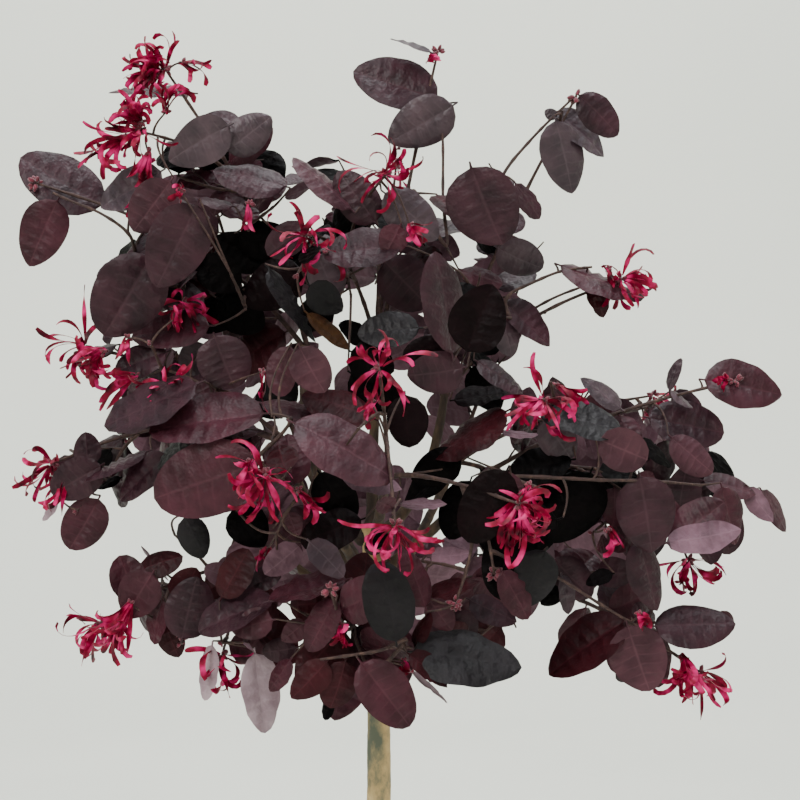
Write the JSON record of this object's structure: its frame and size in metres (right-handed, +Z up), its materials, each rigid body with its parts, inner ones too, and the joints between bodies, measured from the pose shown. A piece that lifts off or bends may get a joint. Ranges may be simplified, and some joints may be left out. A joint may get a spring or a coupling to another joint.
{
  "type": "potted chinese fringe flower",
  "caption": "Young standard shrub: one slim stem with a loose round crown of dark purple leaves and ribbon-petalled pink flower heads, in a plain tapered pot.",
  "frame": {"origin": "centre of the pot's flat underside, on the floor that it stands on", "axes": "+Z up along the stem, -Y towards the side that the picture shows and that most leaves face, +X to that view's right"},
  "size_m": [0.383, 0.3416, 0.9494],
  "materials": {
    "pot": "satin",
    "soil": "matte",
    "bark": "matte",
    "foliage": "satin"
  },
  "bodies": {
    "root": {"pot": "pot", "potting_soil": "soil", "trunk": "bark", "leader_bough": "bark", "upper_left_bough": "bark", "left_bough": "bark", "lower_left_bough": "bark", "front_left_bough": "bark", "front_bough": "bark", "upper_right_bough": "bark", "right_bough": "bark", "lower_right_bough": "bark", "back_left_bough": "bark", "back_right_bough": "bark", "back_bough": "bark", "front_low_bough": "bark", "back_low_bough": "bark", "upper_left_foliage": "foliage", "left_foliage": "foliage", "mid_left_foliage": "foliage", "left_low_foliage": "foliage", "front_left_foliage": "foliage", "lower_left_foliage": "foliage", "hanging_left_foliage": "foliage", "front_low_foliage": "foliage", "front_centre_foliage": "foliage", "front_right_foliage": "foliage", "top_foliage": "foliage", "top_left_foliage": "foliage", "top_right_foliage": "foliage", "upper_right_foliage": "foliage", "right_foliage": "foliage", "far_right_foliage": "foliage", "lower_right_foliage": "foliage", "hanging_right_foliage": "foliage", "back_upper_left_foliage": "foliage", "back_left_foliage": "foliage", "back_low_left_foliage": "foliage", "back_upper_right_foliage": "foliage", "back_right_foliage": "foliage", "back_low_right_foliage": "foliage", "back_top_foliage": "foliage", "back_low_foliage": "foliage", "top_back_foliage": "foliage"}
  },
  "joints": []
}
